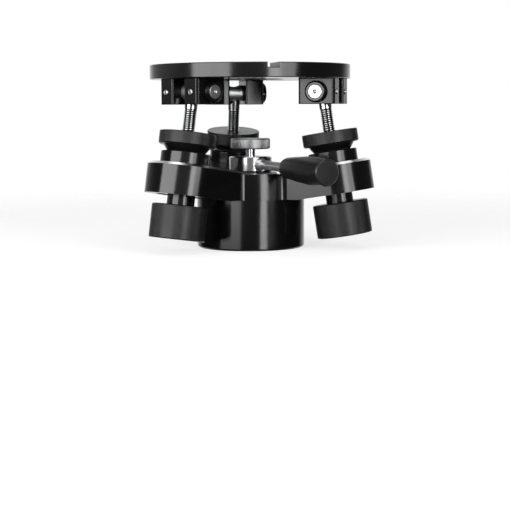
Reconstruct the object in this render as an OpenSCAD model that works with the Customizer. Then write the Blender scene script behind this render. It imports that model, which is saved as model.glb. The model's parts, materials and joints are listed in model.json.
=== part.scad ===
// Three-way levelling head: a keyed round plate on three leaning screw legs,
// each leg held in a ball seat on the arm of a spider that stands on a round base.
// The origin is on the head's axis at the underside of the base, with +Z up.
// The keyway points along -Y, two legs stand left and right of it and one is behind.

/* [Top plate] */
// Diameter of the top plate
plate_d = 176; // [160:1:200]
// Thickness of the top plate
plate_t = 12.5; // [11:0.5:18]
// Chamfer around the rim of the top plate
plate_edge = 0.6; // [0.2:0.1:1.5]
// Diameter of the turned recess in the top face
recess_d = 108; // [90:1:110]
// Depth of the recess and of the keyway
recess_depth = 5; // [3:0.25:6]
// Width of the keyway between the recess and the rim
keyway_w = 10; // [6:0.5:14]
// Diameter of the bore through the plate
plate_bore_d = 60; // [30:1:80]

/* [Base] */
// Diameter of the round base
base_d = 95; // [80:1:96]
// Height of the round base
base_h = 44; // [36:1:60]
// Chamfer at the foot of the round base
base_edge = 1.5; // [0.5:0.25:3]
// Diameter of the tie-down bore through base and spider
tie_bore_d = 17; // [14:0.5:20]
// Circle on which the base screws stand
base_screw_circle_d = 62; // [52:1:70]
// Thread diameter of the base screws
base_screw_d = 6; // [5:1:8]
// Length of a base screw under its head
base_screw_len = 22; // [18:1:30]

/* [Spider] */
// Diameter of the spider's hub
hub_d = 100; // [98:1:106]
// Height of the spider's hub
hub_h = 22.2; // [18:0.2:26]
// Radius of the corners between the hub and its arms
corner_r = 12; // [6:1:16]
// Diameter of a boss, and width of its arm
boss_d = 63; // [56:1:68]
// Thickness of a boss and its arm
boss_h = 26.5; // [24:0.5:30]
// Chamfer around the top of a boss and its arm
boss_edge = 2; // [0.5:0.25:3]
// Height of the middle of a boss's top face above the hub's underside
boss_lift = 30.7; // [28:0.1:34]
// Diameter of the bore that the rod passes through
boss_bore_d = 20; // [18.5:0.5:24]
// Diameter of the recess in the underside of a boss
boss_recess_d = 43; // [42:0.5:50]
// Depth of the recess in the underside of a boss
boss_recess_depth = 6; // [5:0.5:9]

/* [Legs] */
// Lean of each leg, inwards at its top
lean = 9; // [6:0.5:12]
// Circle on which the three pivot pins stand
pin_circle_d = 132.6; // [126:0.2:142]
// Distance from a pivot pin to the top of its levelling nut, down the leg
nut_drop = 35; // [32:0.5:42]
// Distance from a pivot pin to the centre of its ball seat, down the leg
ball_drop = 36.5; // [34:0.5:42]
// Outer diameter of the rod's thread
rod_d = 11; // [8:1:12]
// Pitch of the rod's thread
rod_pitch = 1.8; // [1:0.2:2.2]
// Depth of the rod's thread
thread_depth = 1.05; // [0.4:0.05:1.2]
// Diameter of the plain shank at the top of the rod
shank_d = 10.8; // [8.8:0.1:13]
// Distance from a pivot pin to the end of the plain shank
shank_drop = 17; // [14:0.5:20]
// Distance from a pivot pin to the lower end of the rod
rod_drop = 113; // [108:1:116]

/* [Clevis ears] */
// Height of the ears below the plate
ear_h = 22; // [20:0.5:28]
// Length of an ear along the plate's radius
ear_len = 32; // [28:0.5:35]
// Thickness of an ear
ear_t = 16.7; // [14:0.1:18]
// Gap between the two ears of a leg
ear_gap = 15.2; // [13:0.1:18]
// Chamfer on the outer upright corners of an ear
ear_edge = 1.9; // [1:0.1:4]
// Chamfer on the upright corners of an ear beside the gap
ear_gap_edge = 1; // [0.4:0.1:2]
// Depth of the pivot pin below the plate
pin_drop = 11.5; // [10:0.5:14]
// Diameter of the pivot pin
pin_d = 12; // [9:0.5:12.5]
// Diameter of the barrel that turns on the pivot pin
barrel_d = 15; // [14:0.5:17]
// Diameter of the collars on the ends of the pivot pin
pin_collar_d = 18.6; // [16:0.2:20]
// Width of those collars
pin_collar_w = 4.7; // [3:0.1:6]
// Chamfer around the face of those collars
pin_collar_edge = 1.4; // [0.4:0.1:2]
// Thread diameter of the grub screws that hold the pivot pin
grub_d = 5; // [3:0.5:6]
// Height of a grub screw's head above the end of its ear
grub_show = 1; // [0:0.1:2]
// Thread diameter of the screws that hold the ears to the plate
ear_screw_d = 4; // [3:0.5:4]
// Distance between the two screws of an ear
ear_screw_pitch = 18; // [18:0.5:20]
// Distance of the middle of that pair outwards from the pivot pin
ear_screw_shift = 1.5; // [1:0.1:2]
// Depth that those screws reach into an ear
ear_screw_reach = 8; // [5:0.5:8.4]

/* [Ball seats] */
// Diameter of a levelling nut
nut_d = 48.4; // [42:0.2:52]
// Height of a levelling nut
nut_h = 11.3; // [8:0.1:12]
// Chamfer under a levelling nut
nut_edge = 1.3; // [0.4:0.1:2]
// Radius of the ball washer under the nut
ball_r = 22; // [21:0.25:24]
// Height of the ball washer that shows between nut and cup
ball_show = 5.6; // [5:0.2:7]
// Distance from the ball's centre to the washer's lower face
ball_foot = 19; // [18:0.25:19.5]
// Outer diameter of a seat cup
cup_d = 42.4; // [40:0.2:46]
// Height of a seat cup above its boss
cup_h = 10.2; // [9:0.2:12]
// Diameter of the spigot under a cup
cup_spigot_d = 28; // [25:0.5:32]
// Depth of the spigot under a cup
cup_spigot_h = 4; // [3:0.5:6]
// Thickness of the low-friction liner in a cup
liner_t = 1; // [0.6:0.1:1.5]

/* [Lock knobs] */
// Radius of the lower bush's ball face about the ball's centre
bush_r = 51; // [50:0.25:51.5]
// Outer diameter of the lower bush
bush_d = 36; // [32:0.5:38]
// Diameter of the lower bush's spigot
bush_spigot_d = 25; // [23:0.5:28]
// Length of the lower bush's spigot
bush_spigot_h = 5; // [3:0.5:8]
// Diameter of the lock collar's flange
flange_d = 29; // [26:0.5:31]
// Diameter of the lock collar's neck
neck_d = 23.7; // [20:0.1:26]
// Height of the neck that shows below the boss
neck_h = 8.2; // [7:0.2:11]
// Diameter of a lock knob
knob_d = 48; // [42:0.5:52]
// Height of a lock knob
knob_h = 29; // [26:0.5:34]
// Chamfer at both ends of a lock knob
knob_edge = 0.8; // [0.4:0.1:2]
// Depth of a lock knob's threaded hole beyond the end of its rod
knob_hole_spare = 6; // [1:0.5:8]

/* [Lever clamp] */
// Diameter of the lever hub
clamp_d = 38; // [34:0.5:44]
// Height of the lever hub
clamp_h = 13; // [11:0.5:16]
// Diameter of the threaded hole in the lever hub
stud_d = 16; // [12:0.5:17]
// Depth of that hole
stud_depth = 9; // [7:0.5:10]
// Thickness of the thrust washer under the lever hub
thrust_t = 0.8; // [0.5:0.1:1.5]
// Direction of the lever, from the keyway towards the right leg
lever_angle = 17; // [-16:1:17]
// Droop of the lever below level
lever_droop = 1.6; // [0:0.2:3]
// Diameter of the lever's rod
lever_d = 8; // [6:0.5:9]
// Distance from the axis to the near end of the grip
grip_from = 60; // [56:1:70]
// Length of the grip
grip_len = 65; // [50:1:75]
// Diameter of the grip at its near end
grip_neck_d = 13; // [11:0.5:15]
// Diameter of the grip at its shoulder
grip_shoulder_d = 18; // [16:0.2:20]
// Largest diameter of the grip
grip_d = 24.2; // [21:0.2:25]
// Diameter of the grip's end face
grip_end_d = 22.6; // [19:0.2:24]
// Chamfer around the grip's end face
grip_edge = 1; // [0.6:0.1:3]
// Depth of the rod's hole in the grip
grip_hole = 25; // [18:1:30]
// Diameter of the spot face around the lever's rod
spot_d = 12.4; // [10:0.2:13]
// Depth of that spot face in the side of the lever hub
spot_depth = 1.4; // [1.1:0.1:2]
// Diameter of the knurled lock wheel
wheel_d = 34.8; // [30:0.2:38]
// Thickness of the lock wheel
wheel_h = 9.3; // [7:0.1:11]
// Chamfer around both faces of the lock wheel
wheel_edge = 1; // [0.5:0.1:1.5]
// Diameter of the lock wheel's screw
stem_d = 8; // [6:0.5:10]
// Length of the screw that shows between lever hub and lock wheel
stem_show = 6.4; // [5:0.2:9]

/* [Fits] */
// Clearance on the radius of a running or screwed fit
fit = 0.05; // [0.02:0.01:0.1]
// Clearance on the radius of a hole that a rod slides through
slide_fit = 0.3; // [0.2:0.05:0.5]
// Gap between a ball face and its seat
seat_gap = 0.3; // [0.25:0.05:0.5]
// Gap between flat faces that turn on each other
face_gap = 0.1; // [0.05:0.05:0.2]

/* [Hidden] */
$fn = 96;

// Angles of the legs around the axis, turned from the keyway
left_angle = -60;
right_angle = 60;
back_angle = 180;
legs = [left_angle, right_angle, back_angle];

// Places along a leg, measured down from its pivot pin
washer_top = nut_drop + nut_h + face_gap;
cup_top = nut_drop + nut_h + ball_show;
boss_top = cup_top + cup_h;
boss_bottom = boss_top + boss_h;
recess_top = boss_bottom - boss_recess_depth;
knob_top = boss_bottom + neck_h;
thread_bottom = washer_top + rod_pitch * 2;
thread_again = knob_top;

// Heights above the underside of the base
hub_top = base_h + hub_h;
pin_z = base_h + boss_lift + boss_top * cos(lean);
plate_z = pin_z + pin_drop;
recess_z = plate_z + plate_t - recess_depth;
clamp_z = hub_top + thrust_t + face_gap;
lever_z = clamp_z + clamp_h / 2;
wheel_z = clamp_z + clamp_h + stem_show;

// Sizes that follow from the ones above
run = 1.5;
pin_r = pin_circle_d / 2;
seat_r = ball_r + seat_gap + liner_t + seat_gap;
ear_x = (ear_gap + ear_t) / 2;
cheek_x = ear_gap / 2 + ear_t;
screw_head_d = ear_screw_d * 2;
screw_head_h = ear_screw_d / 2;
cap_d = base_screw_d * 5 / 3;
cap_h = base_screw_d;
liner_rim = 0.5;
dimple_d = 3.4;
dimple_share = 0.4;
arm_inset = 0.1;
pin_rim = 0.3;
small_edge = 0.5;

// Prints the heights that the mounts and joints use
echo(pin_z = pin_z, plate_z = plate_z, plate_top = plate_z + plate_t, hub_top = hub_top);
echo(clamp_z = clamp_z, lever_z = lever_z, wheel_z = wheel_z);
echo(ball_r_from_axis = pin_r + ball_drop * sin(lean), ball_z = pin_z - ball_drop * cos(lean));

// Stands what follows at the pivot pin of the leg at angle a, upright
module at_pin(a) rotate([0, 0, a]) translate([0, -pin_r, pin_z]) children();

// The same, leaning with the leg: its own -Z runs down the leg
module on_leg(a) at_pin(a) rotate([-lean, 0, 0]) children();

// A turned solid from z0 up to z1, with a chamfer at its foot and at its head
module turned(d, z0, z1, foot = 0, head = 0) {
    r = d / 2;
    rotate_extrude()
        polygon([[0, z0], [r - foot, z0], [r, z0 + foot], [r, z1 - head], [r - head, z1], [0, z1]]);
}

// A straight round hole from z0 up to z1
module hole(d, z0, z1) translate([0, 0, z0]) cylinder(d = d, h = z1 - z0);

// Base

module base_screw_places()
    for (a = legs) rotate([0, 0, a]) translate([0, -base_screw_circle_d / 2, 0]) children();

module base_cylinder() color([0.05, 0.05, 0.055]) difference() {
    turned(base_d, 0, base_h, base_edge, 0);
    hole(tie_bore_d, -run, base_h + run);
    base_screw_places() {
        hole(base_screw_d + fit * 4, -run, base_h + run);
        hole(cap_d + slide_fit * 2, -run, base_h + hub_h / 2 - base_screw_len);
    }
}

// Plan of the web that rounds the corner between the hub and one side of an arm.
// Its arc runs a little way into both, so that the three meet in clean edges.
module corner_web() {
    side = boss_d / 2;
    cx = side + corner_r;
    cy = sqrt(pow(hub_d / 2 + corner_r, 2) - cx * cx);
    share = hub_d / (hub_d + corner_r * 2);
    difference() {
        polygon([[0, 0], [side - boss_edge, cy], [cx, cy], [cx * share, cy * share]]);
        translate([cx, cy]) circle(r = corner_r + arm_inset * 2);
    }
}

module hub_plan() {
    circle(d = hub_d);
    for (a = legs, m = [0, 1]) rotate([0, 0, a + 180]) mirror([m, 0]) corner_web();
}

// The end of an arm's bar, chamfered along its two top edges
module arm_bar() {
    w = boss_d / 2 - arm_inset;
    reach = pin_r + boss_bottom * sin(lean);
    translate([0, reach, 0]) rotate([90, 0, 0]) linear_extrude(reach)
        polygon([[-w, -boss_bottom], [w, -boss_bottom], [w, -boss_top - boss_edge],
            [w - boss_edge, -boss_top], [boss_edge - w, -boss_top], [-w, -boss_top - boss_edge]]);
}

// Arm and boss of one leg, cut level with the underside of the hub
module arm(a) intersection() {
    on_leg(a) {
        turned(boss_d, -boss_bottom, -boss_top, 0, boss_edge);
        arm_bar();
    }
    translate([0, 0, base_h]) cylinder(r = pin_circle_d, h = plate_z - base_h);
}

module spider() color([0.05, 0.05, 0.055]) difference() {
    union() {
        translate([0, 0, base_h]) linear_extrude(hub_h) hub_plan();
        difference() {
            for (a = legs) arm(a);
            hole(clamp_d + boss_edge * 2, hub_top, plate_z);
        }
    }
    hole(tie_bore_d, base_h - run, hub_top + run);
    base_screw_places() hole(base_screw_d + fit * 2, base_h - run, base_h + hub_h / 2 + run);
    for (a = legs) on_leg(a) {
        hole(boss_bore_d, -boss_bottom - run, -boss_top + run);
        hole(cup_spigot_d + fit * 2, -boss_top - cup_spigot_h - fit, -boss_top + run);
        hole(boss_recess_d, -boss_bottom - run * 4, -recess_top);
        hole(bush_spigot_d + fit * 2, -recess_top - run, -recess_top + bush_spigot_h + fit);
    }
}

// Three socket screws that hold the spider down on the base
module base_screws() color([0.2, 0.2, 0.2]) base_screw_places() difference() {
    union() {
        hole(base_screw_d, base_h + hub_h / 2 - base_screw_len, base_h + hub_h / 2);
        hole(cap_d, base_h + hub_h / 2 - base_screw_len - cap_h, base_h + hub_h / 2 - base_screw_len);
    }
    translate([0, 0, base_h + hub_h / 2 - base_screw_len - cap_h - run])
        cylinder(d = base_screw_d, h = cap_h / 2 + run, $fn = 6);
}

module thrust_washer() color([0.75, 0.7, 0.55]) difference() {
    hole(clamp_d - thrust_t * 2, hub_top, hub_top + thrust_t);
    hole(tie_bore_d + thrust_t * 2, hub_top - run, hub_top + run);
}

// Ball seats

module cup(a) color([0.05, 0.05, 0.055]) on_leg(a) difference() {
    union() {
        turned(cup_d, -boss_top, -cup_top, 0, small_edge);
        hole(cup_spigot_d, -boss_top - cup_spigot_h, -boss_top);
    }
    translate([0, 0, -ball_drop]) sphere(r = seat_r);
    hole(boss_bore_d, -boss_top - cup_spigot_h - run, -cup_top);
}

module seat_liner(a) color([0.85, 0.83, 0.76]) on_leg(a) difference() {
    intersection() {
        translate([0, 0, -ball_drop]) sphere(r = seat_r - seat_gap);
        hole(cup_d, -ball_drop - ball_foot - liner_t, -cup_top - liner_rim);
    }
    translate([0, 0, -ball_drop]) sphere(r = seat_r - seat_gap - liner_t);
}

module ball_washer(a) color([0.04, 0.04, 0.045]) on_leg(a) difference() {
    intersection() {
        translate([0, 0, -ball_drop]) sphere(r = ball_r);
        hole(ball_r * 2, -ball_drop - ball_foot, -washer_top);
    }
    hole(rod_d + slide_fit * 2, -ball_drop - ball_foot - run, -washer_top + run);
}

module level_nut(a) color([0.12, 0.12, 0.12]) on_leg(a) difference() {
    turned(nut_d, -nut_drop - nut_h, -nut_drop, nut_edge, small_edge);
    hole(rod_d + fit * 2, -nut_drop - nut_h - run, -nut_drop + run);
}

// Lock knobs and what they clamp on

module lower_bush(a) color([0.62, 0.5, 0.3]) on_leg(a) difference() {
    intersection() {
        union() {
            hole(bush_d, -boss_bottom, -recess_top);
            hole(bush_spigot_d, -recess_top, -recess_top + bush_spigot_h);
        }
        translate([0, 0, -ball_drop]) sphere(r = bush_r);
    }
    hole(boss_bore_d, -boss_bottom - run, -recess_top + bush_spigot_h + run);
}

module lock_collar(a) color([0.06, 0.06, 0.065]) on_leg(a) difference() {
    union() {
        hole(flange_d, -boss_bottom + small_edge, -recess_top);
        hole(neck_d, -knob_top + face_gap, -boss_bottom + run);
    }
    translate([0, 0, -ball_drop]) sphere(r = bush_r + seat_gap);
    hole(rod_d + slide_fit * 2, -knob_top - run, -recess_top + run);
}

module lock_knob(a) color([0.1, 0.1, 0.1]) on_leg(a) difference() {
    turned(knob_d, -knob_top - knob_h, -knob_top, knob_edge, knob_edge);
    hole(rod_d + fit * 2, -rod_drop - knob_hole_spare, -knob_top + run);
}

// Legs

// A stretch of thread from z0 up to z1, as a turned row of grooves
module thread(z0, z1) {
    turns = floor((z1 - z0) / rod_pitch);
    r = rod_d / 2;
    flat = rod_pitch / 8;
    rotate_extrude() polygon(concat([[0, z0], [r, z0]],
        [for (i = [0 : turns - 1]) each [[r, z0 + (i + 0.5) * rod_pitch - rod_pitch / 2 + flat],
            [r - thread_depth, z0 + (i + 0.5) * rod_pitch],
            [r, z0 + (i + 1) * rod_pitch - flat]]],
        [[r, z1], [0, z1]]));
}

module rod(a) color([0.7, 0.7, 0.72]) on_leg(a) {
    hole(shank_d, -shank_drop, -pin_d / 2 - slide_fit);
    thread(-thread_bottom, -shank_drop);
    hole(rod_d, -thread_again, -thread_bottom);
    thread(-rod_drop, -thread_again);
}

module trunnion(a) color([0.75, 0.75, 0.77]) on_leg(a) difference() {
    x = ear_gap / 2 - slide_fit;
    rotate([0, 90, 0]) turned(barrel_d, -x, x, small_edge, small_edge);
    rotate([0, 90, 0]) hole(pin_d + fit * 2, -ear_gap, ear_gap);
    hole(shank_d, -barrel_d, barrel_d);
}

// Clevis

// Plan of the ear on the +X side of the gap
module ear_plan() {
    x = ear_t / 2;
    y = ear_len / 2;
    c = ear_gap_edge;
    polygon([[-x, c - y], [c - x, -y], [x - ear_edge, -y], [x, ear_edge - y],
        [x, y - ear_edge], [x - ear_edge, y], [c - x, y], [-x, y - c]]);
}

// Where a leg's four ear screws stand, on the underside of the plate
module ear_screw_places(a) at_pin(a) for (s = [-1, 1], e = [-1, 1])
    translate([s * ear_x, e * ear_screw_pitch / 2 - ear_screw_shift, pin_drop]) children();

module ears(a) color([0.05, 0.05, 0.055]) difference() {
    at_pin(a) for (m = [0, 1]) mirror([m, 0]) translate([ear_x, 0, pin_drop - ear_h])
        linear_extrude(ear_h) ear_plan();
    at_pin(a) rotate([0, 90, 0]) hole(pin_d + fit * 2, -cheek_x - run, cheek_x + run);
    at_pin(a) for (s = [-1, 1]) translate([s * ear_x, 0, 0])
        rotate([90, 0, 0]) hole(grub_d + fit * 2, 0, ear_len);
    ear_screw_places(a) hole(ear_screw_d + fit * 2, -ear_screw_reach - small_edge, run);
}

module pivot_pin(a) color([0.8, 0.8, 0.82]) at_pin(a) rotate([0, 90, 0]) difference() {
    turned(pin_d, -cheek_x - pin_collar_w, cheek_x + pin_collar_w, pin_rim, pin_rim);
    for (m = [0, 1]) mirror([0, 0, m]) translate([0, 0, cheek_x + pin_collar_w - dimple_d / 2])
        cylinder(d1 = dimple_d * dimple_share, d2 = dimple_d * (2 - dimple_share), h = dimple_d);
}

module pin_collars(a) color([0.05, 0.05, 0.055]) at_pin(a) rotate([0, 90, 0])
    for (m = [0, 1]) mirror([0, 0, m]) difference() {
        turned(pin_collar_d, cheek_x, cheek_x + pin_collar_w, 0, pin_collar_edge);
        hole(pin_d + fit * 2, cheek_x - run, cheek_x + pin_collar_w + run);
    }

module grub_screws() color([0.7, 0.7, 0.7]) for (a = legs) at_pin(a) for (s = [-1, 1])
    translate([s * ear_x, 0, 0]) rotate([90, 0, 0]) difference() {
        turned(grub_d, pin_d / 2 + slide_fit, ear_len / 2 + grub_show, 0, small_edge);
        translate([0, 0, ear_len / 2 + grub_show - grub_d / 2])
            cylinder(d = grub_d / 2, h = grub_d, $fn = 6);
    }

// Plate

// One countersunk screw from the underside of the plate, its head level with the rim
module flat_screw() difference() {
    union() {
        hole(ear_screw_d, -ear_screw_reach, plate_t - screw_head_h / 2);
        translate([0, 0, plate_t - screw_head_h])
            cylinder(d1 = ear_screw_d, d2 = screw_head_d, h = screw_head_h);
    }
    translate([0, 0, plate_t - screw_head_h / 2])
        cylinder(d = ear_screw_d * 2 / 3, h = screw_head_h, $fn = 6);
}

// What such a screw needs cut in the plate
module flat_screw_seat() {
    spare = fit * 4;
    hole(ear_screw_d + spare, -run, plate_t);
    translate([0, 0, plate_t - screw_head_h])
        cylinder(d1 = ear_screw_d + spare, d2 = screw_head_d + spare, h = screw_head_h);
    hole(screw_head_d + spare, plate_t, plate_t + run);
}

module ear_screws() color([0.15, 0.15, 0.15]) for (a = legs) ear_screw_places(a) flat_screw();

module top_plate() color([0.04, 0.04, 0.045]) difference() {
    turned(plate_d, plate_z, plate_z + plate_t, plate_edge, plate_edge);
    hole(plate_bore_d, plate_z - run, plate_z + plate_t);
    hole(recess_d, recess_z, plate_z + plate_t + run);
    translate([-keyway_w / 2, -plate_d, recess_z]) cube([keyway_w, plate_d, recess_depth + run]);
    for (a = legs) ear_screw_places(a) flat_screw_seat();
}

// Lever clamp

// Turns what follows from +Z to the way the lever points
module along_lever()
    rotate([0, 0, lever_angle]) translate([0, 0, lever_z]) rotate([90 + lever_droop, 0, 0]) children();

module clamp_hub() color([0.75, 0.75, 0.77]) difference() {
    turned(clamp_d, clamp_z, clamp_z + clamp_h, small_edge, small_edge * 2);
    hole(stud_d, clamp_z - run, clamp_z + stud_depth);
    hole(stem_d + fit * 2, clamp_z, clamp_z + clamp_h + run);
    along_lever() hole(lever_d + fit * 2, stud_d / 2, clamp_d);
    along_lever() hole(spot_d, clamp_d / 2 - spot_depth, clamp_d);
}

module lever_rod() color([0.75, 0.75, 0.77]) along_lever()
    turned(lever_d, stud_d / 2 + run, grip_from + grip_hole - run, small_edge, small_edge);

module lever_grip() color([0.08, 0.08, 0.08]) along_lever() difference() {
    neck = grip_neck_d / 2;
    shoulder = grip_shoulder_d / 2;
    big = grip_d / 2;
    end = grip_end_d / 2;
    tip = grip_from + grip_len;
    rotate_extrude() polygon([[0, grip_from], [neck, grip_from],
        [(neck + shoulder) / 2, grip_from + grip_len / 40], [shoulder, grip_from + grip_len / 12],
        [(shoulder + big) / 2, grip_from + grip_len / 3], [big, grip_from + grip_len * 2 / 3],
        [end, tip - grip_edge], [end - grip_edge, tip], [0, tip]]);
    hole(lever_d + fit * 2, grip_from - run, grip_from + grip_hole);
}

module lock_screw() color([0.75, 0.75, 0.77])
    turned(stem_d, clamp_z + clamp_h / 3, wheel_z + wheel_h - small_edge, small_edge, small_edge);

module lock_wheel() color([0.7, 0.7, 0.7]) difference() {
    turned(wheel_d, wheel_z, wheel_z + wheel_h, wheel_edge, wheel_edge);
    hole(stem_d + fit * 2, wheel_z - run, wheel_z + wheel_h + run);
}

base_cylinder();
spider();
base_screws();
thrust_washer();
cup(left_angle);  // cup_left
cup(right_angle);  // cup_right
cup(back_angle);  // cup_back
seat_liner(left_angle);  // seat_liner_left
seat_liner(right_angle);  // seat_liner_right
seat_liner(back_angle);  // seat_liner_back
lower_bush(left_angle);  // lower_bush_left
lower_bush(right_angle);  // lower_bush_right
lower_bush(back_angle);  // lower_bush_back
clamp_hub();
lever_rod();
lever_grip();
lock_screw();
lock_wheel();
top_plate();
ears(left_angle);  // ears_left
ears(right_angle);  // ears_right
ears(back_angle);  // ears_back
ear_screws();
grub_screws();
pivot_pin(left_angle);  // pivot_pin_left
pivot_pin(right_angle);  // pivot_pin_right
pivot_pin(back_angle);  // pivot_pin_back
pin_collars(left_angle);  // pin_collars_left
pin_collars(right_angle);  // pin_collars_right
pin_collars(back_angle);  // pin_collars_back
trunnion(left_angle);  // trunnion_left
trunnion(right_angle);  // trunnion_right
trunnion(back_angle);  // trunnion_back
rod(left_angle);  // rod_left
rod(right_angle);  // rod_right
rod(back_angle);  // rod_back
ball_washer(left_angle);  // ball_washer_left
ball_washer(right_angle);  // ball_washer_right
ball_washer(back_angle);  // ball_washer_back
level_nut(left_angle);  // level_nut_left
level_nut(right_angle);  // level_nut_right
level_nut(back_angle);  // level_nut_back
lock_collar(left_angle);  // lock_collar_left
lock_collar(right_angle);  // lock_collar_right
lock_collar(back_angle);  // lock_collar_back
lock_knob(left_angle);  // lock_knob_left
lock_knob(right_angle);  // lock_knob_right
lock_knob(back_angle);  // lock_knob_back
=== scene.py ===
# Three-way levelling head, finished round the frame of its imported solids.
# A keyed black plate stands on three leaning screw legs, whose balls sit in cups on a
# three-armed spider over a round base, with a bright lever clamp in the middle.
import json
import math

import bmesh
import bpy
from mathutils import Matrix, Vector

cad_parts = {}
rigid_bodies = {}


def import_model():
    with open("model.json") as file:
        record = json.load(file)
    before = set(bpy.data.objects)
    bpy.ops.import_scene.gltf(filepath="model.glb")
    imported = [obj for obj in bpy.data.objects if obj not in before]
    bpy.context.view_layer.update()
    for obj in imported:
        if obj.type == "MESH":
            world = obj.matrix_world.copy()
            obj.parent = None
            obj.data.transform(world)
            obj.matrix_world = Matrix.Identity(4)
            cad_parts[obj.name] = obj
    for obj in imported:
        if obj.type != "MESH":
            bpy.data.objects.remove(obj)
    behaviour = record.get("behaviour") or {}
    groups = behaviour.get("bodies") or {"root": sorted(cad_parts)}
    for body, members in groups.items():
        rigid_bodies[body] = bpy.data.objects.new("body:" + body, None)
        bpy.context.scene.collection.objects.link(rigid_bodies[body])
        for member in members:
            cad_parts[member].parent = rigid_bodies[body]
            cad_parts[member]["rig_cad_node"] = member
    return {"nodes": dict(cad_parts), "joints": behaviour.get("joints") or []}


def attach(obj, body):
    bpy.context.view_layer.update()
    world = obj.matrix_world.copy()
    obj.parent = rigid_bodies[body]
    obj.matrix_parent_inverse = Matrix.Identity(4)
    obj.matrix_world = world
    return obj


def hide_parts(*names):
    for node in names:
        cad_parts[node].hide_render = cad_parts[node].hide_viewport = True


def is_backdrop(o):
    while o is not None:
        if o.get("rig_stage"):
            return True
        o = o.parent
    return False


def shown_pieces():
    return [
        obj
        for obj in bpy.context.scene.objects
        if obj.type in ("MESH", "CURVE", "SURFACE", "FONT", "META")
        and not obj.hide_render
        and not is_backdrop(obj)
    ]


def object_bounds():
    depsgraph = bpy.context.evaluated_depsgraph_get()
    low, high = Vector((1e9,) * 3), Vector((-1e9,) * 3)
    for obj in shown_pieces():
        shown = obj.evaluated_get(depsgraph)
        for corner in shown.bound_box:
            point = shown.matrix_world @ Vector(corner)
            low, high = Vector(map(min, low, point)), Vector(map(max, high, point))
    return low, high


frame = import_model()
solids = frame["nodes"]
joints = {joint["name"]: joint for joint in frame["joints"]}
cad_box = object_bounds()
MM = 0.001

# Camera. A long lens from a little under the height of the top plate, turned a little to
# the left of the keyway, as the photograph was taken.
photo_width = 510
focal_pixels = 1345.5
camera_reach = 1194.4 * MM
camera_height = 122.66 * MM
camera_azimuth = math.radians(-12.81)
camera_pitch = math.radians(6.25)
camera_yaw = math.radians(0.17)
camera_roll = math.radians(-0.31)
lens = bpy.data.cameras.new("camera")
lens.sensor_width = 36
lens.lens = focal_pixels * lens.sensor_width / photo_width
lens.clip_start = 0.05
lens.clip_end = 20
camera = bpy.data.objects.new("camera", lens)
camera_way = Vector((math.sin(camera_azimuth), -math.cos(camera_azimuth), 0))
camera.matrix_world = (
    Matrix.Translation(camera_way * camera_reach + Vector((0, 0, camera_height)))
    @ Matrix.Rotation(camera_azimuth - camera_yaw, 4, "Z")
    @ Matrix.Rotation(math.pi / 2 - camera_pitch, 4, "X")
    @ Matrix.Rotation(camera_roll, 4, "Z")
)
bpy.context.scene.collection.objects.link(camera)
bpy.context.scene.camera = camera
bpy.context.scene.view_settings.view_transform = "Standard"


# Studio. A pale floor that keeps the shadow and fades into a white backdrop behind the
# head, and a dark room around it, in which tall softboxes and a top light stand.
def studio_material(name):
    """An empty node material, and its nodes and links."""
    material = bpy.data.materials.new(name)
    material.use_nodes = True
    material.node_tree.nodes.clear()
    return material, material.node_tree.nodes, material.node_tree.links


def math_node(nodes, links, operation, first, second):
    """One sum in a node tree, of sockets or plain numbers."""
    node = nodes.new("ShaderNodeMath")
    node.operation = operation
    for socket, value in zip(node.inputs, (first, second)):
        if isinstance(value, (int, float)):
            socket.default_value = value
        else:
            links.new(value, socket)
    return node.outputs[0]


def ramp(nodes, links, value, low, high, bottom=0, top=1):
    """A value brought from one span to another, and held at both ends."""
    node = nodes.new("ShaderNodeMapRange")
    node.inputs["From Min"].default_value = low
    node.inputs["From Max"].default_value = high
    node.inputs["To Min"].default_value = bottom
    node.inputs["To Max"].default_value = top
    links.new(value, node.inputs["Value"])
    return node.outputs[0]


floor_radius = 4
floor_share = 0.5
floor_light = 0.54
fade_from = 0.25
fade_to = 0.9
floor_bm = bmesh.new()
bmesh.ops.create_circle(floor_bm, cap_ends=True, segments=64, radius=floor_radius)
floor_mesh = bpy.data.meshes.new("floor")
floor_bm.to_mesh(floor_mesh)
floor_bm.free()
floor = bpy.data.objects.new("floor", floor_mesh)
bpy.context.scene.collection.objects.link(floor)
floor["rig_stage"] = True
material, nodes, links = studio_material("pale_floor")
paint = nodes.new("ShaderNodeBsdfDiffuse")
paint.inputs["Color"].default_value = (floor_share, floor_share, floor_share, 1)
glow = nodes.new("ShaderNodeEmission")
rays = nodes.new("ShaderNodeLightPath")
glow_level = 1 - floor_share * floor_light
links.new(
    math_node(nodes, links, "MULTIPLY", rays.outputs["Is Camera Ray"], glow_level),
    glow.inputs["Strength"],
)
both = nodes.new("ShaderNodeAddShader")
links.new(paint.outputs[0], both.inputs[0])
links.new(glow.outputs[0], both.inputs[1])
place = nodes.new("ShaderNodeTexCoord")
reach = nodes.new("ShaderNodeVectorMath")
reach.operation = "LENGTH"
links.new(place.outputs["Object"], reach.inputs[0])
fade = nodes.new("ShaderNodeMapRange")
fade.interpolation_type = "SMOOTHSTEP"
fade.inputs["From Min"].default_value = fade_from
fade.inputs["From Max"].default_value = fade_to
links.new(reach.outputs["Value"], fade.inputs["Value"])
unseen = math_node(nodes, links, "MAXIMUM", rays.outputs["Is Glossy Ray"], fade.outputs[0])
clear = nodes.new("ShaderNodeBsdfTransparent")
seen = nodes.new("ShaderNodeMixShader")
links.new(unseen, seen.inputs[0])
links.new(both.outputs[0], seen.inputs[1])
links.new(clear.outputs[0], seen.inputs[2])
out = nodes.new("ShaderNodeOutputMaterial")
links.new(seen.outputs[0], out.inputs["Surface"])
floor_mesh.materials.append(material)

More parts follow.
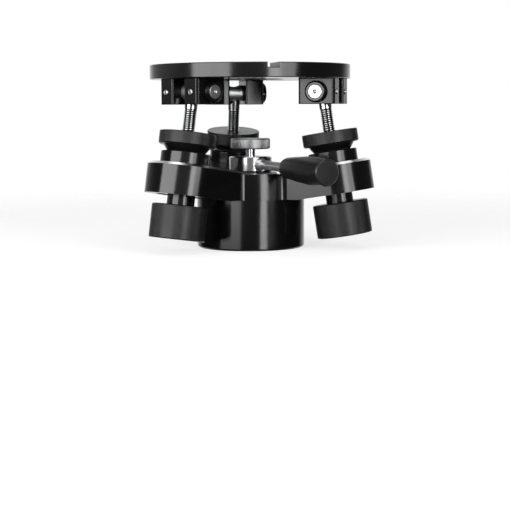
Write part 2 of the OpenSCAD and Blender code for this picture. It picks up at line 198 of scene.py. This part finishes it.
fill_level = 0.1
foot_level = 0.015
side_level = 0.05
left_band = 0.5
right_band = 0.1
front_level = 0.36
backdrop_edge = (-0.62, -0.95)
front_edge = (0.5, 0.95)
horizon = (-0.11, 0.02)
band_turn = (-0.3, 0.7)
band_rims = ((-0.02, 0.01), (0.16, 0.06))
world = bpy.data.worlds.new("studio")
bpy.context.scene.world = world
world.use_nodes = True
nodes, links = world.node_tree.nodes, world.node_tree.links
nodes.clear()
way = nodes.new("ShaderNodeTexCoord")
height = nodes.new("ShaderNodeSeparateXYZ")
links.new(way.outputs["Generated"], height.inputs[0])
level_way = nodes.new("ShaderNodeVectorMath")
level_way.operation = "MULTIPLY"
level_way.inputs[1].default_value = (1, 1, 0)
links.new(way.outputs["Generated"], level_way.inputs[0])
heading = nodes.new("ShaderNodeVectorMath")
heading.operation = "NORMALIZE"
links.new(level_way.outputs[0], heading.inputs[0])
towards = nodes.new("ShaderNodeVectorMath")
towards.operation = "DOT_PRODUCT"
towards.inputs[1].default_value = camera_way
links.new(heading.outputs[0], towards.inputs[0])
backdrop = ramp(nodes, links, towards.outputs["Value"], *backdrop_edge)
front = ramp(nodes, links, towards.outputs["Value"], *front_edge, side_level, front_level)
upper = ramp(nodes, links, height.outputs["Z"], *horizon)
room = math_node(nodes, links, "MULTIPLY", front, upper)
leftward = nodes.new("ShaderNodeVectorMath")
leftward.operation = "DOT_PRODUCT"
leftward.inputs[1].default_value = (-math.cos(camera_azimuth), -math.sin(camera_azimuth), 0)
links.new(heading.outputs[0], leftward.inputs[0])
band = ramp(nodes, links, leftward.outputs["Value"], *band_turn, right_band, left_band)
for rim in band_rims:
    within = ramp(nodes, links, height.outputs["Z"], *rim)
    band = math_node(nodes, links, "MULTIPLY", band, within)
for level in (band, foot_level, backdrop):
    room = math_node(nodes, links, "MAXIMUM", room, level)
rays = nodes.new("ShaderNodeLightPath")
shiny = math_node(
    nodes, links, "MAXIMUM", rays.outputs["Is Glossy Ray"], rays.outputs["Is Transmission Ray"]
)
lit = nodes.new("ShaderNodeMix")
lit.inputs["A"].default_value = fill_level
links.new(shiny, lit.inputs["Factor"])
links.new(room, lit.inputs["B"])
level = nodes.new("ShaderNodeMix")
level.inputs["B"].default_value = 1
links.new(rays.outputs["Is Camera Ray"], level.inputs["Factor"])
links.new(lit.outputs["Result"], level.inputs["A"])
background = nodes.new("ShaderNodeBackground")
background.inputs["Color"].default_value = (1, 1, 1, 1)
links.new(level.outputs["Result"], background.inputs["Strength"])
out = nodes.new("ShaderNodeOutputWorld")
links.new(background.outputs[0], out.inputs["Surface"])

head_middle = Vector((0, 0, (cad_box[0].z + cad_box[1].z) / 2))
lamp_reach = 1.25


def softbox(name, azimuths, elevations, radiance):
    """A rectangular lamp that faces the head, and fills those angles seen from it."""
    azimuth, elevation = (math.radians(sum(pair) / 2) for pair in (azimuths, elevations))
    width, height = (math.radians(pair[1] - pair[0]) for pair in (azimuths, elevations))
    lamp = bpy.data.lights.new(name, "AREA")
    lamp.shape = "RECTANGLE"
    lamp.size = 2 * lamp_reach * math.tan(width / 2)
    lamp.size_y = 2 * lamp_reach * math.tan(height / 2)
    lamp.energy = radiance * math.pi * lamp.size * lamp.size_y
    stand = bpy.data.objects.new(name, lamp)
    around = camera_azimuth + azimuth
    flat = Vector((math.sin(around), -math.cos(around), 0)) * math.cos(elevation)
    way = flat + Vector((0, 0, math.sin(elevation)))
    stand.location = head_middle + way * lamp_reach
    stand.rotation_euler = way.to_track_quat("Z", "Y").to_euler()
    stand.visible_camera = False
    bpy.context.scene.collection.objects.link(stand)


# Azimuths are seen from the camera's side, and grow to the right.
softbox("left_softbox_foot", (-66, -21), (-10, -2), 2.6)
softbox("left_softbox", (-66, -21), (-2, 24), 6)
softbox("right_strip_light", (20, 34), (-12, 24), 8)
softbox("right_softbox", (34, 51), (-1, 24), 5)
softbox("top_light", (-25, 25), (55, 105), 1)


# Round base. A turned aluminium foot, black anodised to a satin sheen, with fine marks
# of the lathe round it, a chamfer at its foot and three deep screw wells.
def node_group(name, inputs, outputs):
    """An empty shader group with float or vector sockets, and its two ends."""
    group = bpy.data.node_groups.new(name, "ShaderNodeTree")
    for label, kind, value in inputs:
        socket = group.interface.new_socket(label, in_out="INPUT", socket_type=kind)
        if value is not None:
            socket.default_value = value
    for label, kind in outputs:
        group.interface.new_socket(label, in_out="OUTPUT", socket_type=kind)
    return group, group.nodes.new("NodeGroupInput"), group.nodes.new("NodeGroupOutput")


lathe_marks, ins, outs = node_group(
    "lathe_marks",
    [("Vector", "NodeSocketVector", None), ("Pitch", "NodeSocketFloat", 0.3 * MM)],
    [("Height", "NodeSocketFloat"), ("Mottle", "NodeSocketFloat")],
)
nodes, links = lathe_marks.nodes, lathe_marks.links
split = nodes.new("ShaderNodeSeparateXYZ")
links.new(ins.outputs["Vector"], split.inputs[0])
square = [math_node(nodes, links, "POWER", split.outputs[i], 2) for i in (0, 1)]
radius = math_node(nodes, links, "SQRT", math_node(nodes, links, "ADD", *square), 0)
around = nodes.new("ShaderNodeCombineXYZ")
arc_length = 1.5
for i in (0, 1):
    side = math_node(nodes, links, "DIVIDE", split.outputs[i], radius)
    links.new(math_node(nodes, links, "MULTIPLY", side, arc_length), around.inputs[i])
ring = math_node(nodes, links, "ADD", radius, split.outputs[2])
links.new(math_node(nodes, links, "DIVIDE", ring, ins.outputs["Pitch"]), around.inputs[2])
marks = nodes.new("ShaderNodeTexNoise")
marks.inputs["Scale"].default_value = 1
marks.inputs["Detail"].default_value = 3
links.new(around.outputs[0], marks.inputs["Vector"])
links.new(marks.outputs["Fac"], outs.inputs["Height"])
mottle = nodes.new("ShaderNodeTexNoise")
mottle.inputs["Scale"].default_value = 60
mottle.inputs["Detail"].default_value = 4
links.new(ins.outputs["Vector"], mottle.inputs["Vector"])
links.new(mottle.outputs["Fac"], outs.inputs["Mottle"])

edge_wear, ins, outs = node_group(
    "edge_wear", [("Width", "NodeSocketFloat", 0.4 * MM)], [("Mask", "NodeSocketFloat")]
)
nodes, links = edge_wear.nodes, edge_wear.links
rounded = nodes.new("ShaderNodeBevel")
rounded.samples = 4
links.new(ins.outputs["Width"], rounded.inputs["Radius"])
flat = nodes.new("ShaderNodeNewGeometry")
turned_away = nodes.new("ShaderNodeVectorMath")
turned_away.operation = "DOT_PRODUCT"
links.new(rounded.outputs[0], turned_away.inputs[0])
links.new(flat.outputs["Normal"], turned_away.inputs[1])
near_edge = nodes.new("ShaderNodeMapRange")
near_edge.interpolation_type = "SMOOTHSTEP"
near_edge.inputs["From Min"].default_value = 0.99
near_edge.inputs["From Max"].default_value = 0.8
links.new(turned_away.outputs["Value"], near_edge.inputs["Value"])
links.new(near_edge.outputs[0], outs.inputs["Mask"])


sheen_spread = 0.15


def finish(
    name, place, colour, worn, metallic, roughness, pitch, depth, specular=0.5, brushed=0, rounding=0
):
    """A turned finish whose marks run round the place's own axis, lighter where edges wear."""
    material = bpy.data.materials.new(name)
    material.use_nodes = True
    nodes, links = material.node_tree.nodes, material.node_tree.links
    shader = nodes["Principled BSDF"]
    shader.inputs["Metallic"].default_value = metallic
    shader.inputs["Specular IOR Level"].default_value = specular
    coords = nodes.new("ShaderNodeTexCoord")
    if brushed:
        shader.inputs["Anisotropic"].default_value = brushed
        shader.inputs["Anisotropic Rotation"].default_value = 0.25
        from_axis = nodes.new("ShaderNodeVectorMath")
        from_axis.operation = "SUBTRACT"
        from_axis.inputs[1].default_value = place.to_translation()
        links.new(coords.outputs["Object"], from_axis.inputs[0])
        round_axis = nodes.new("ShaderNodeVectorMath")
        round_axis.operation = "CROSS_PRODUCT"
        round_axis.inputs[0].default_value = place.to_3x3().col[2]
        links.new(from_axis.outputs[0], round_axis.inputs[1])
        turned_too = nodes.new("ShaderNodeVectorTransform")
        turned_too.convert_from, turned_too.convert_to = "OBJECT", "WORLD"
        links.new(round_axis.outputs[0], turned_too.inputs[0])
        links.new(turned_too.outputs[0], shader.inputs["Tangent"])
    local = nodes.new("ShaderNodeMapping")
    back = place.inverted()
    local.inputs["Location"].default_value = back.to_translation()
    local.inputs["Rotation"].default_value = back.to_euler("XYZ")
    links.new(coords.outputs["Object"], local.inputs["Vector"])
    marks = nodes.new("ShaderNodeGroup")
    marks.node_tree = lathe_marks
    marks.inputs["Pitch"].default_value = pitch
    links.new(local.outputs[0], marks.inputs["Vector"])
    wear = nodes.new("ShaderNodeGroup")
    wear.node_tree = edge_wear
    tint = nodes.new("ShaderNodeMix")
    tint.data_type = "RGBA"
    tint.inputs["A"].default_value = (*colour, 1)
    tint.inputs["B"].default_value = (*worn, 1)
    links.new(wear.outputs["Mask"], tint.inputs["Factor"])
    links.new(tint.outputs["Result"], shader.inputs["Base Color"])
    sheen = nodes.new("ShaderNodeMapRange")
    sheen.inputs["From Min"].default_value = 0.3
    sheen.inputs["From Max"].default_value = 0.7
    sheen.inputs["To Min"].default_value = roughness * (1 - sheen_spread)
    sheen.inputs["To Max"].default_value = roughness * (1 + sheen_spread)
    links.new(marks.outputs["Mottle"], sheen.inputs["Value"])
    links.new(sheen.outputs[0], shader.inputs["Roughness"])
    bump = nodes.new("ShaderNodeBump")
    bump.inputs["Distance"].default_value = depth
    bump.inputs["Strength"].default_value = 1
    links.new(marks.outputs["Height"], bump.inputs["Height"])
    if rounding:
        round_edge = nodes.new("ShaderNodeBevel")
        round_edge.samples = 8
        round_edge.inputs["Radius"].default_value = rounding
        links.new(round_edge.outputs[0], bump.inputs["Normal"])
    links.new(bump.outputs[0], shader.inputs["Normal"])
    return material


def dress(name, material, edge):
    """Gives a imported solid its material, and rounds its sharp edges by a hair."""
    piece = solids[name]
    piece.data.materials.clear()
    piece.data.materials.append(material)
    piece.data.polygons.foreach_set("use_smooth", [True] * len(piece.data.polygons))
    piece.data.polygons.foreach_set("material_index", [0] * len(piece.data.polygons))
    weld = piece.modifiers.new("weld", "WELD")
    weld.merge_threshold = 0.002 * MM
    soften(piece, edge)


def soften(piece, edge):
    """Rounds a piece's sharp edges, and shades what lies between them flat or round."""
    bevel = piece.modifiers.new("soft_edges", "BEVEL")
    bevel.width = edge
    bevel.segments = 2
    bevel.limit_method = "ANGLE"
    bevel.angle_limit = math.radians(32)
    shading = piece.modifiers.new("shading", "WEIGHTED_NORMAL")
    shading.keep_sharp = False
    shading.weight = 90


upright = Matrix.Identity(4)
black = (0.0035, 0.0035, 0.0037)
black_worn = (0.03, 0.03, 0.031)


def anodised(name, place, rounding=0):
    """Satin black anodising over a turned face."""
    return finish(
        name, place, black, black_worn, 0, 0.18, 0.28 * MM, 0.006 * MM, brushed=0.5,
        rounding=rounding,
    )


black_upright = anodised("black_anodised_upright", upright)
dress("base_cylinder", black_upright, 0.25 * MM)


# Base screws. Three black socket screws that come up from the wells of the base and
# hold the spider down, and a thin bronze thrust washer on top of the spider.
steel_black = finish(
    "black_steel", upright, (0.03, 0.03, 0.032), (0.2, 0.2, 0.2), 0.6, 0.35, 0.2 * MM, 0.004 * MM
)
dress("base_screws", steel_black, 0.15 * MM)
bronze = finish(
    "bearing_bronze", upright, (0.07, 0.055, 0.04), (0.12, 0.1, 0.08), 1, 0.4, 0.3 * MM, 0.006 * MM
)
dress("thrust_washer", bronze, 0.08 * MM)

# Spider. One milled block with a turned hub and three arms, each with a leaning boss
# at its end. It is black anodised, and the chamfers of the bosses are cut bright after it.
sides = ("left", "right", "back")
chamfer_slope = math.sqrt(0.5)
chamfer_reach = (0.05, 0.03)
top_reach = (0.985, 0.995)
milled_roughness = 0.22
milled_specular = 1
spider_black = anodised("spider_black", upright)
nodes, links = spider_black.node_tree.nodes, spider_black.node_tree.links
face = nodes.new("ShaderNodeNewGeometry")
cut_bright = 0
milled = 0
for side in sides:
    leaning = nodes.new("ShaderNodeVectorMath")
    leaning.operation = "DOT_PRODUCT"
    leaning.inputs[1].default_value = -Vector(joints["nut_turn_" + side]["axis"]).normalized()
    links.new(face.outputs["True Normal"], leaning.inputs[0])
    off = math_node(nodes, links, "SUBTRACT", leaning.outputs["Value"], chamfer_slope)
    off = math_node(nodes, links, "ABSOLUTE", off, 0)
    mask = ramp(nodes, links, off, *chamfer_reach)
    cut_bright = math_node(nodes, links, "MAXIMUM", mask, cut_bright)
    top = ramp(nodes, links, leaning.outputs["Value"], *top_reach)
    milled = math_node(nodes, links, "MAXIMUM", top, milled)
shader = nodes["Principled BSDF"]
bare = nodes.new("ShaderNodeMix")
bare.data_type = "RGBA"
bare.inputs["B"].default_value = (0.8, 0.8, 0.81, 1)
links.new(shader.inputs["Base Color"].links[0].from_socket, bare.inputs["A"])
links.new(cut_bright, bare.inputs["Factor"])
links.new(bare.outputs["Result"], shader.inputs["Base Color"])
links.new(cut_bright, shader.inputs["Metallic"])
coarse = math_node(nodes, links, "MULTIPLY", milled, milled_roughness)
satin = shader.inputs["Roughness"].links[0].from_socket
links.new(math_node(nodes, links, "ADD", satin, coarse), shader.inputs["Roughness"])
specular = shader.inputs["Specular IOR Level"]
links.new(ramp(nodes, links, milled, 0, 1, specular.default_value, milled_specular), specular)
dress("spider", spider_black, 0.3 * MM)


# Ball seats. A black anodised cup stands on each boss, with a low-friction liner in it,
# and a bronze bush with a ball face sits in the recess under the boss.
def leg_place(side):
    """Where a leg's ball is centred, with Z up the leg and X along its pivot pin."""
    turn, swing = joints["nut_turn_" + side], joints["swing_" + side]
    up = -Vector(turn["axis"]).normalized()
    across = Vector(swing["axis"]).normalized()
    lean = Matrix((across, up.cross(across), up)).transposed().to_4x4()
    return Matrix.Translation(turn["pos_m"]) @ lean


leg = {side: leg_place(side) for side in sides}
black_leg = {side: anodised("black_anodised_" + side, leg[side]) for side in sides}
for side in sides:
    dress("cup_" + side, black_leg[side], 0.2 * MM)
    liner = finish(
        "liner_" + side, leg[side], (0.8, 0.78, 0.7), (0.8, 0.78, 0.7), 0, 0.5, 1 * MM, 0.004 * MM
    )
    dress("seat_liner_" + side, liner, 0.08 * MM)
    bush = finish(
        "bush_" + side, leg[side], (0.42, 0.27, 0.11), (0.6, 0.42, 0.2), 1, 0.3, 0.3 * MM, 0.006 * MM
    )
    dress("lower_bush_" + side, bush, 0.15 * MM)

# Ball washers and lock collars. Black turned pieces that swing about the centre of the
# seat: the ball carries the levelling nut, and the collar's neck takes the lock knob.
for side in sides:
    ball = finish(
        "ball_black_" + side, leg[side], (0.004, 0.004, 0.004), (0.02, 0.02, 0.02), 0, 0.3,
        0.4 * MM, 0.006 * MM, 0.3,
    )
    dress("ball_washer_" + side, ball, 0.12 * MM)
    dress("lock_collar_" + side, black_leg[side], 0.15 * MM)


# Levelling nuts. Wide, low black nuts with a fine straight knurl, a plain turned face
# on top and a larger chamfer below.
def extent(name, place):
    """Lowest and highest point of a solid along a place's axis, and its radius."""
    back = place.inverted()
    points = [back @ v.co for v in solids[name].data.vertices]
    heights = [p.z for p in points]
    return min(heights), max(heights), max(math.hypot(p.x, p.y) for p in points)


def spun(outline, steps, closed):
    """A mesh spun round Z from (radius, height) points, with closed poles and seam."""
    bm = bmesh.new()
    points = [bm.verts.new((r, 0, z)) for r, z in outline]
    edges = [bm.edges.new(pair) for pair in zip(points, points[1:])]
    if closed:
        edges.append(bm.edges.new((points[-1], points[0])))
    bmesh.ops.spin(
        bm, geom=points + edges, cent=(0, 0, 0), axis=(0, 0, 1), angle=math.tau, steps=steps,
        use_merge=True,
    )
    bmesh.ops.remove_doubles(bm, verts=bm.verts, dist=0.001 * MM)
    bmesh.ops.recalc_face_normals(bm, faces=bm.faces)
    return bm


def add_piece(name, bm, place, material, body, stands_for):
    """Sets a finished mesh in its place, on its body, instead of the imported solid."""
    bm.transform(place)
    mesh = bpy.data.meshes.new(name)
    bm.to_mesh(mesh)
    bm.free()
    mesh.materials.append(material)
    piece = bpy.data.objects.new(name, mesh)
    bpy.context.scene.collection.objects.link(piece)
    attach(piece, body)
    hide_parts(stands_for)


steps_per_tooth = 6


def knurled(outline, radius, pitch, depth, closed):
    """A spun mesh, with the valleys of a straight knurl sunk into its outer rings."""
    steps = round(math.tau * radius / pitch) * steps_per_tooth
    step = math.tau / steps
    bm = spun(outline, steps, closed)
    rim = [v for v in bm.verts if math.hypot(v.co.x, v.co.y) > radius - 0.001 * MM]
    valley = [
        v for v in rim
        if round(math.atan2(v.co.y, v.co.x) / step) % steps_per_tooth == 0
    ]
    share = 1 - depth / radius
    bmesh.ops.scale(bm, vec=(share, share, 1), verts=valley)
    return bm


knurl_pitch = 0.9 * MM
knurl_depth = 0.1 * MM
nut_edge_low = 1.3 * MM
nut_edge_high = 0.5 * MM
nut_face_edge = 1.2 * MM
nut_bore_edge = 0.8 * MM
rod_radius = 5.5 * MM
bore = rod_radius + 0.1 * MM
knurl_black = (0.006, 0.006, 0.0063)
knurl_black_worn = (0.04, 0.04, 0.041)


def knurled_black(name, place):
    """Black anodising over a knurl, duller than on a turned face."""
    return finish(
        name, place, knurl_black, knurl_black_worn, 0, 0.32, 1.1 * MM, 0.09 * MM, 0.36, 0.3
    )


for side in sides:
    low, high, wide = extent("level_nut_" + side, leg[side])
    outline = [
        (bore, low), (wide - nut_edge_low, low), (wide, low + nut_edge_low),
        (wide, high - nut_edge_high), (wide - nut_edge_high, high),
        (wide - nut_face_edge * 2, high), (bore + nut_bore_edge, high), (bore, high - nut_bore_edge),
    ]
    add_piece(
        "levelling_nut_" + side, knurled(outline, wide, knurl_pitch, knurl_depth, True),
        leg[side], knurled_black("nut_black_" + side, leg[side]), "nut_" + side,
        "level_nut_" + side,
    )

# Lock knobs. Tall black knobs under the bosses with the same knurl, a small chamfer at
# both ends and a shallow turned relief in the lower face.
knob_edge = 0.8 * MM
knob_bore_edge = 1 * MM
relief_depth = 0.4 * MM
relief_share = 0.7
relief_rim_share = 0.72
bore_floor = 7 * MM
drill_point = 5 * MM
for side in sides:
    low, high, wide = extent("lock_knob_" + side, leg[side])
    outline = [
        (0, low + relief_depth), (wide * relief_share, low + relief_depth),
        (wide * relief_rim_share, low), (wide - knob_edge, low), (wide, low + knob_edge),
        (wide, high - knob_edge), (wide - knob_edge, high), (bore + knob_bore_edge, high),
        (bore, high - knob_bore_edge), (bore, low + bore_floor), (0, low + drill_point),
    ]
    add_piece(
        "knob_" + side, knurled(outline, wide, knurl_pitch, knurl_depth, False), leg[side],
        knurled_black("knob_black_" + side, leg[side]), "knob_" + side,
        "lock_knob_" + side,
    )


# Rods. Bright steel, with a plain shank under the pivot and a coarse cut thread from there
# to the lower end, its roots darkened with painted shade.
crest_from, crest_to, root_from = 0.4, 0.55, 0.95


def threaded(low, high, radius, pitch, depth, steps_per_turn):
    """A solid length of helical thread between two heights."""
    bm = bmesh.new()
    turns = math.ceil((high - low) / pitch) + 2
    start = low - pitch
    outline = [
        (radius - depth, 0), (radius, pitch * crest_from), (radius, pitch * crest_to),
        (radius - depth, pitch * root_from), (radius - depth, pitch),
    ]
    points = [bm.verts.new((r, 0, start + z)) for r, z in outline]
    edges = [bm.edges.new(pair) for pair in zip(points, points[1:])]
    bmesh.ops.spin(
        bm, geom=points + edges, cent=(0, 0, 0), axis=(0, 0, 1), angle=math.tau * turns,
        steps=steps_per_turn * turns, dvec=(0, 0, pitch / steps_per_turn), use_merge=False,
    )
    bmesh.ops.remove_doubles(bm, verts=bm.verts, dist=0.002 * MM)
    for height, side in ((low, -1), (high, 1)):
        bmesh.ops.bisect_plane(
            bm, geom=bm.verts[:] + bm.edges[:] + bm.faces[:], plane_co=(0, 0, height),
            plane_no=(0, 0, side), clear_outer=True,
        )
    rims = [edge for edge in bm.edges if edge.is_boundary]
    bmesh.ops.holes_fill(bm, edges=rims, sides=0)
    bmesh.ops.recalc_face_normals(bm, faces=bm.faces)
    return bm


def joined(*parts):
    """One mesh of several."""
    whole = bmesh.new()
    for part in parts:
        mesh = bpy.data.meshes.new("part")
        part.to_mesh(mesh)
        part.free()
        whole.from_mesh(mesh)
        bpy.data.meshes.remove(mesh)
    return whole


rod_pitch = 1.8 * MM
thread_depth = 1.05 * MM
shank_radius = 5.4 * MM
shank_edge = 0.6 * MM
shank_length = 15.3 * MM
shank_overlap = 0.2 * MM
shank_steps = 96
thread_steps = 28
root_share = 0.8
crest_share = 0.25


def bright_steel(name, place, roughness=0.16, brushed=0.7):
    """Turned and polished steel."""
    return finish(
        name, place, (0.62, 0.62, 0.63), (0.8, 0.8, 0.8), 1, roughness, 0.25 * MM, 0.004 * MM,
        brushed=brushed,
    )


def root_shaded(material, root, crest):
    """Paints shade into the roots of a thread, darkening its colour towards black there."""
    nodes, links = material.node_tree.nodes, material.node_tree.links
    across = nodes.new("ShaderNodeVectorMath")
    across.operation = "MULTIPLY"
    across.inputs[1].default_value = (1, 1, 0)
    links.new(nodes["Mapping"].outputs[0], across.inputs[0])
    reach = nodes.new("ShaderNodeVectorMath")
    reach.operation = "LENGTH"
    links.new(across.outputs[0], reach.inputs[0])
    # Painted shade: the base colour goes near black at the thread's roots and keeps its own colour at
    # the crests.
    shade = nodes.new("ShaderNodeMix")
    shade.data_type = "RGBA"
    shade.inputs["A"].default_value = (0.03, 0.03, 0.03, 1)
    colour = nodes["Principled BSDF"].inputs["Base Color"]
    links.new(colour.links[0].from_socket, shade.inputs["B"])
    links.new(ramp(nodes, links, reach.outputs["Value"], root, crest), shade.inputs["Factor"])
    links.new(shade.outputs["Result"], colour)
    return material


for side in sides:
    low, high, _ = extent("rod_" + side, leg[side])
    barrel_low, barrel_high, _ = extent("trunnion_" + side, leg[side])
    pin_height = (barrel_low + barrel_high) / 2
    shank_low = pin_height - shank_length
    shank = spun(
        [
            (0, shank_low), (shank_radius - shank_edge, shank_low),
            (shank_radius, shank_low + shank_edge), (shank_radius, high), (0, high),
        ],
        shank_steps, False,
    )
    thread = threaded(
        low, shank_low + shank_overlap, rod_radius, rod_pitch, thread_depth, thread_steps
    )
    steel = root_shaded(
        bright_steel("rod_steel_" + side, leg[side]),
        rod_radius - thread_depth * root_share, rod_radius - thread_depth * crest_share,
    )
    add_piece(
        "screw_rod_" + side, joined(shank, thread), leg[side], steel, "leg_" + side,
        "rod_" + side,
    )

# Trunnions and pivot pins. A bright barrel turns on each pin between the two ears, and
# the pin's ends show in black collars, with a turned dimple in each.
for side in sides:
    pin_way = leg[side] @ Matrix.Translation((0, 0, pin_height)) @ Matrix.Rotation(
        math.pi / 2, 4, "Y"
    )
    dress("trunnion_" + side, bright_steel("barrel_steel_" + side, pin_way, 0.42, 0), 0.15 * MM)
    pin_steel = finish(
        "pin_steel_" + side, pin_way, (0.55, 0.55, 0.56), (0.9, 0.9, 0.9), 1, 0.34, 1.3 * MM,
        0.12 * MM, rounding=0.5 * MM,
    )
    dress("pivot_pin_" + side, pin_steel, 0.1 * MM)
    dress("pin_collars_" + side, anodised("collar_black_" + side, pin_way), 0.15 * MM)

# Ears. Six milled black blocks under the plate, which hold the pins, with a bright grub
# screw in the outer end of each and countersunk screws down from the plate.
for side in sides:
    ear_black = finish(
        "ear_black_" + side, leg[side], black, black_worn, 0, 0.2, 0.4 * MM, 0.012 * MM, 0.42,
        0.3, 1.3 * MM,
    )
    dress("ears_" + side, ear_black, 0.25 * MM)
grub_steel = finish(
    "grub_steel", upright, (0.75, 0.75, 0.76), (0.9, 0.9, 0.9), 1, 0.4, 0.4 * MM, 0.004 * MM,
    rounding=1.2 * MM,
)
dress("grub_screws", grub_steel, 0.1 * MM)
dress("ear_screws", steel_black, 0.1 * MM)

# Top plate. A turned black disc with a recess in its top face and a keyway from the
# recess out through the rim.
dress("top_plate", black_upright, 0.3 * MM)

# Lever clamp. A polished steel hub that draws up the tie-down bolt from below, with a
# steel lever screwed into its side.
dress("clamp_hub", bright_steel("hub_steel", upright, 0.2, 0.3), 0.25 * MM)
lever_turn = math.radians(17)
lever_droop = math.radians(1.6)
hub_low, hub_high, _ = extent("clamp_hub", upright)
along_lever = (
    Matrix.Translation((0, 0, (hub_low + hub_high) / 2))
    @ Matrix.Rotation(lever_turn, 4, "Z")
    @ Matrix.Rotation(math.pi / 2 + lever_droop, 4, "X")
)
lever_steel = finish(
    "lever_steel", along_lever, (0.92, 0.92, 0.93), (0.95, 0.95, 0.95), 1, 0.42, 0.25 * MM, 0.004 * MM
)
dress("lever_rod", lever_steel, 0.15 * MM)

# Grip. A moulded black plastic handle that swells from a narrow neck to a blunt end, and
# is pushed onto the end of the lever.
low, high, wide = extent("lever_grip", along_lever)
neck_radius = 6.5 * MM
neck_edge = 0.5 * MM
shoulder_radius = 9 * MM
end_radius = 11.3 * MM
end_edge = 1 * MM
grip_steps = 128
length = high - low
grip_outline = [
    (0, low), (neck_radius - neck_edge, low), (neck_radius, low + neck_edge),
    ((neck_radius + shoulder_radius) / 2, low + length / 40),
    (shoulder_radius, low + length / 12), ((shoulder_radius + wide) / 2, low + length / 3),
    (wide, low + length * 2 / 3), (end_radius, high - end_edge), (end_radius - end_edge, high),
    (0, high),
]
grip_plastic = finish(
    "grip_plastic", along_lever, (0.01, 0.01, 0.01), (0.01, 0.01, 0.01), 0, 0.33, 1.1 * MM,
    0.1 * MM, 0.6,
)
add_piece(
    "grip", spun(grip_outline, grip_steps, False), along_lever, grip_plastic, "lever",
    "lever_grip",
)

# Lock wheel. A low bright wheel with a fine straight knurl, on a plain steel screw that
# locks the clamp.
dress("lock_screw", bright_steel("screw_steel", upright, 0.15), 0.12 * MM)
low, high, wide = extent("lock_wheel", upright)
wheel_edge = 1 * MM
wheel_pitch = 0.7 * MM
wheel_depth = 0.14 * MM
stem_radius = 4 * MM
outline = [
    (stem_radius, low), (wide - wheel_edge, low), (wide, low + wheel_edge),
    (wide, high - wheel_edge), (wide - wheel_edge, high), (stem_radius, high),
]
wheel_steel = finish(
    "wheel_steel", upright, (0.25, 0.25, 0.26), (0.5, 0.5, 0.5), 1, 0.34, 0.9 * MM, 0.12 * MM
)
add_piece(
    "clamp_wheel", knurled(outline, wide, wheel_pitch, wheel_depth, True), upright, wheel_steel,
    "lock_wheel", "lock_wheel",
)

# Sharp edges. The pieces made here get a hair of rounding, as turned and milled edges
# have once their burrs are off.
hair_edge = 0.06 * MM
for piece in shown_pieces():
    if "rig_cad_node" not in piece:
        soften(piece, hair_edge)
